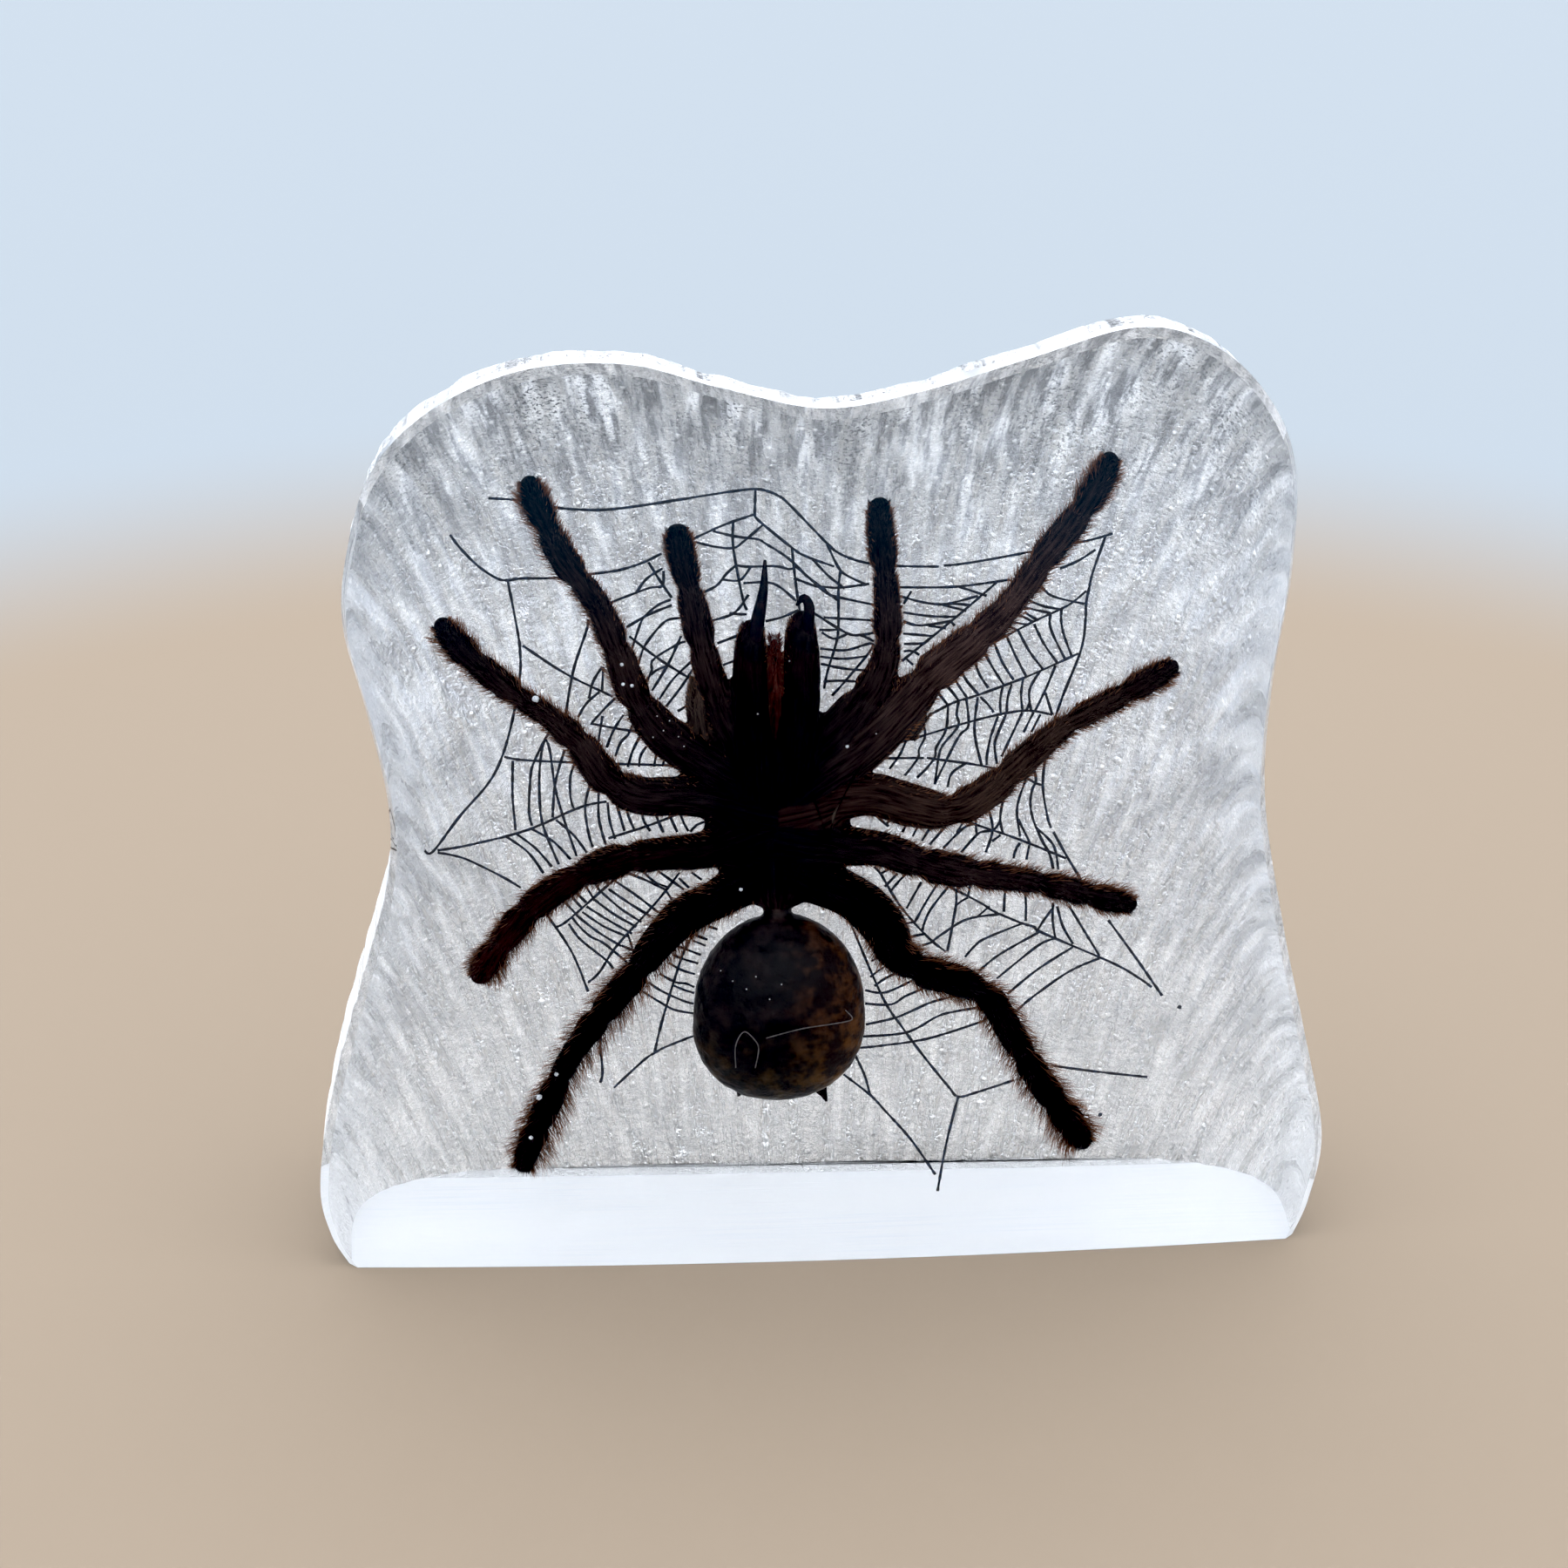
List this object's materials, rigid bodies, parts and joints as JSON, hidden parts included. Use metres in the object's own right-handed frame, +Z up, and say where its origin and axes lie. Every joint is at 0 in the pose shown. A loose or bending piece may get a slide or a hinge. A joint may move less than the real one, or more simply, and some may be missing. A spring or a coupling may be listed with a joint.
{
  "type": "tarantula in resin block",
  "caption": "Dried tarantula sealed belly forward over a printed spider web, in a free-standing clear resin block cast like a lump of ice.",
  "frame": {"origin": "on the flat ground base, in the middle of the block's bounds", "axes": "+Z up out of the base, -Y out of the polished front that the specimen is seen through, +X to the viewer's right"},
  "size_m": [0.1199, 0.0403, 0.117],
  "materials": {
    "clear_resin": "polished clear cast resin",
    "frosted_resin": "clear cast resin with an ice-like frosty surface",
    "clear_film": "thin clear film printed with fine blue-black threads",
    "dark_hair": "dried hide of a spider, near black, with dense short hair and rusty fringes"
  },
  "bodies": {
    "root": {"block_front": "clear_resin", "block_back": "frosted_resin", "web_film": "clear_film", "tarantula": "dark_hair"}
  },
  "joints": []
}
